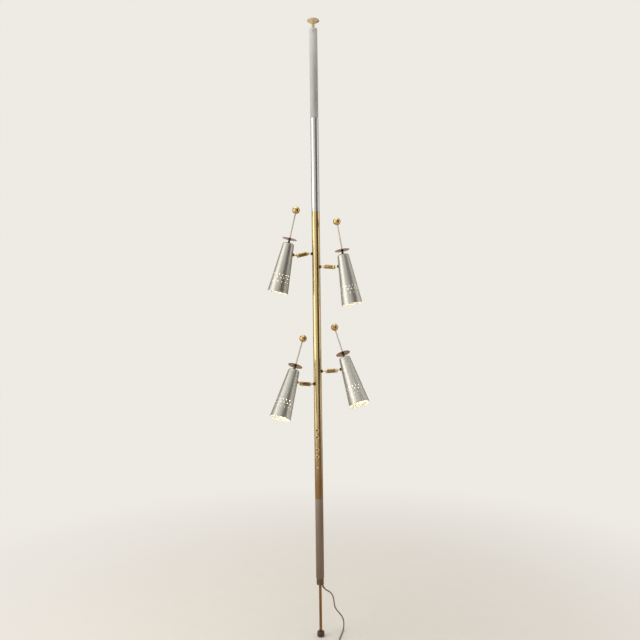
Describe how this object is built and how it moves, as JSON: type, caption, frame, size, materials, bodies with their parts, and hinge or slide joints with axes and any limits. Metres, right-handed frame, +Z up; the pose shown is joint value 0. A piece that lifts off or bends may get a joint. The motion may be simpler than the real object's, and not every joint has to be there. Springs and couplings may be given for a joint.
{
  "type": "tension pole lamp",
  "caption": "Floor-to-ceiling sprung pole with swivelling perforated conical shades, rotary switches and a coiled mains cord.",
  "frame": {"origin": "centre of the foot's lower face, on the floor, on the pole's axis", "axes": "+Z up along the pole, +X to the viewer's right seen from the switches' side, +Y away from the viewer"},
  "size_m": [0.3893, 0.236, 2.438],
  "materials": {
    "gold_lacquer": "gold lacquer, satin",
    "felt": "pressed felt",
    "polished_brass": "polished and lacquered, with fine lengthwise brushing",
    "cast_plug": "machined",
    "reeded_aluminium": "satin, with narrow lengthwise reeds",
    "satin_silver": "satin brushed, smooth",
    "plain_steel": "plain drawn steel",
    "aged_plug": "dull, darkened",
    "screw_steel": "blackened",
    "aged_brass_rod": "aged, dull",
    "dark_bronze": "dark brown enamel, satin",
    "pale_rubber": "matt",
    "spring_steel": "bright wire",
    "switch_plastic": "dark brown, matt",
    "brown_cord": "brown vinyl sheath, soft sheen",
    "boot_plastic": "dark brown vinyl",
    "tie_plastic": "black, matt",
    "plug_plastic": "dark brown moulding with brass blades",
    "knob_brass": "polished, grooved rim",
    "barrel_brass": "satin, with paler end rings",
    "spun_nickel": "spun satin metal outside, white enamel inside",
    "socket_plastic": "dark brown phenolic",
    "lit_glass": "inside-frosted, lit",
    "disc_brass": "polished, slightly tarnished",
    "finial_brass": "pale polished brass"
  },
  "bodies": {
    "pole": {"top_plug": "cast_plug", "upper_tube": "reeded_aluminium", "middle_tube": "satin_silver", "brass_tube": "polished_brass", "lower_tube": "reeded_aluminium", "tube_joiners": "plain_steel", "bottom_plug": "aged_plug", "set_screws": "screw_steel", "spring_seat": "plain_steel", "tension_spring": "spring_steel", "switch_bodies": "switch_plastic", "cord_clamp": "switch_plastic", "inner_cord": "brown_cord", "cord_boot": "boot_plastic", "cord": "brown_cord", "cord_coil": "brown_cord", "cord_tie": "tie_plastic", "plug": "plug_plastic"},
    "ceiling_end": {"ceiling_stem": "polished_brass", "ceiling_pad": "gold_lacquer", "ceiling_pad_felt": "felt"},
    "foot": {"foot_rod": "aged_brass_rod", "foot_cup": "dark_bronze", "foot_pad": "pale_rubber"},
    "switch_1": {"switch_knob_1": "knob_brass"},
    "switch_2": {"switch_knob_2": "knob_brass"},
    "switch_3": {"switch_knob_3": "knob_brass"},
    "switch_4": {"switch_knob_4": "knob_brass"},
    "upper_left_stud": {"upper_left_pole_stud": "dark_bronze"},
    "upper_left_arm": {"upper_left_arm_barrel": "barrel_brass"},
    "upper_left_knuckle": {"upper_left_shade_stud": "dark_bronze"},
    "upper_left_head": {"upper_left_shade": "spun_nickel", "upper_left_socket": "socket_plastic", "upper_left_bulb": "lit_glass", "upper_left_disc": "disc_brass", "upper_left_finial": "finial_brass"},
    "upper_right_stud": {"upper_right_pole_stud": "dark_bronze"},
    "upper_right_arm": {"upper_right_arm_barrel": "barrel_brass"},
    "upper_right_knuckle": {"upper_right_shade_stud": "dark_bronze"},
    "upper_right_head": {"upper_right_shade": "spun_nickel", "upper_right_socket": "socket_plastic", "upper_right_bulb": "lit_glass", "upper_right_disc": "disc_brass", "upper_right_finial": "finial_brass"},
    "lower_left_stud": {"lower_left_pole_stud": "dark_bronze"},
    "lower_left_arm": {"lower_left_arm_barrel": "barrel_brass"},
    "lower_left_knuckle": {"lower_left_shade_stud": "dark_bronze"},
    "lower_left_head": {"lower_left_shade": "spun_nickel", "lower_left_socket": "socket_plastic", "lower_left_bulb": "lit_glass", "lower_left_disc": "disc_brass", "lower_left_finial": "finial_brass"},
    "lower_right_stud": {"lower_right_pole_stud": "dark_bronze"},
    "lower_right_arm": {"lower_right_arm_barrel": "barrel_brass"},
    "lower_right_knuckle": {"lower_right_shade_stud": "dark_bronze"},
    "lower_right_head": {"lower_right_shade": "spun_nickel", "lower_right_socket": "socket_plastic", "lower_right_bulb": "lit_glass", "lower_right_disc": "disc_brass", "lower_right_finial": "finial_brass"}
  },
  "joints": [
    {"name": "stem_slide", "type": "slide", "parent": "pole", "child": "ceiling_end", "axis": [0, 0, 1], "range_m": [-0.02, 0.028], "stiffness_N_per_m": 1500, "springref_m": 0.0018, "deforming": ["tension_spring"]},
    {"name": "foot_slide", "type": "slide", "parent": "pole", "child": "foot", "axis": [0, 0, 1], "range_m": [-0.058, 0.14]},
    {"name": "switch_1_turn", "type": "hinge", "parent": "pole", "child": "switch_1", "pos_m": [0, 0, 0.716], "axis": [-0.1736, -0.9848, 0], "continuous": true},
    {"name": "switch_2_turn", "type": "hinge", "parent": "pole", "child": "switch_2", "pos_m": [0, 0, 0.743], "axis": [-0.1736, -0.9848, 0], "continuous": true},
    {"name": "switch_3_turn", "type": "hinge", "parent": "pole", "child": "switch_3", "pos_m": [0, 0, 0.792], "axis": [-0.1736, -0.9848, 0], "continuous": true},
    {"name": "switch_4_turn", "type": "hinge", "parent": "pole", "child": "switch_4", "pos_m": [0, 0, 0.819], "axis": [-0.1736, -0.9848, 0], "continuous": true},
    {"name": "upper_left_stud_turn", "type": "hinge", "parent": "pole", "child": "upper_left_stud", "pos_m": [-0.03712, -0.00857, 1.513], "axis": [-0.9744, -0.225, 0], "range_deg": [-170, 170]},
    {"name": "upper_left_arm_tilt", "type": "hinge", "parent": "upper_left_stud", "child": "upper_left_arm", "pos_m": [-0.03712, -0.00857, 1.513], "axis": [0.225, -0.9744, 0], "range_deg": [-10, 15]},
    {"name": "upper_left_head_tilt", "type": "hinge", "parent": "upper_left_arm", "child": "upper_left_knuckle", "pos_m": [-0.07028, -0.01623, 1.50483], "axis": [-0.2364, 0.9714, -0.0239], "range_deg": [-30, 7]},
    {"name": "upper_left_head_turn", "type": "hinge", "parent": "upper_left_knuckle", "child": "upper_left_head", "pos_m": [-0.07028, -0.01623, 1.50483], "axis": [0.9622, 0.2306, -0.145], "range_deg": [-90, 90]},
    {"name": "upper_right_stud_turn", "type": "hinge", "parent": "pole", "child": "upper_right_stud", "pos_m": [0.03533, -0.01427, 1.461], "axis": [0.9272, -0.3746, 0], "range_deg": [-170, 170]},
    {"name": "upper_right_arm_tilt", "type": "hinge", "parent": "upper_right_stud", "child": "upper_right_arm", "pos_m": [0.03533, -0.01427, 1.461], "axis": [0.3746, 0.9272, 0], "range_deg": [-15, 24]},
    {"name": "upper_right_head_tilt", "type": "hinge", "parent": "upper_right_arm", "child": "upper_right_knuckle", "pos_m": [0.06765, -0.02733, 1.45795], "axis": [-0.3893, -0.9193, 0.0582], "range_deg": [-25, 14]},
    {"name": "upper_right_head_turn", "type": "hinge", "parent": "upper_right_knuckle", "child": "upper_right_head", "pos_m": [0.06765, -0.02733, 1.45795], "axis": [-0.9179, 0.3819, -0.1078], "range_deg": [-90, 90]},
    {"name": "lower_left_stud_turn", "type": "hinge", "parent": "pole", "child": "lower_left_stud", "pos_m": [-0.03332, -0.01847, 0.999], "axis": [-0.8746, -0.4848, 0], "range_deg": [-170, 170]},
    {"name": "lower_left_arm_tilt", "type": "hinge", "parent": "lower_left_stud", "child": "lower_left_arm", "pos_m": [-0.03332, -0.01847, 0.999], "axis": [0.4848, -0.8746, 0], "range_deg": [-8, 30]},
    {"name": "lower_left_head_tilt", "type": "hinge", "parent": "lower_left_arm", "child": "lower_left_knuckle", "pos_m": [-0.06367, -0.03529, 1.00357], "axis": [-0.5579, 0.8109, -0.1765], "range_deg": [-30, 5]},
    {"name": "lower_left_head_turn", "type": "hinge", "parent": "lower_left_knuckle", "child": "lower_left_head", "pos_m": [-0.06367, -0.03529, 1.00357], "axis": [0.8081, 0.4824, -0.338], "range_deg": [-90, 90]},
    {"name": "lower_right_stud_turn", "type": "hinge", "parent": "pole", "child": "lower_right_stud", "pos_m": [0.03773, -0.0053, 1.048], "axis": [0.9903, -0.1392, 0], "range_deg": [-170, 170]},
    {"name": "lower_right_arm_tilt", "type": "hinge", "parent": "lower_right_stud", "child": "lower_right_arm", "pos_m": [0.03773, -0.0053, 1.048], "axis": [0.1392, 0.9903, 0], "range_deg": [-10, 25]},
    {"name": "lower_right_head_tilt", "type": "hinge", "parent": "lower_right_arm", "child": "lower_right_knuckle", "pos_m": [0.0723, -0.01016, 1.05044], "axis": [-0.2462, -0.9115, 0.3293], "range_deg": [-30, 8]},
    {"name": "lower_right_head_turn", "type": "hinge", "parent": "lower_right_knuckle", "child": "lower_right_head", "pos_m": [0.0723, -0.01016, 1.05044], "axis": [-0.9521, 0.1639, -0.2582], "range_deg": [-90, 90]}
  ]
}
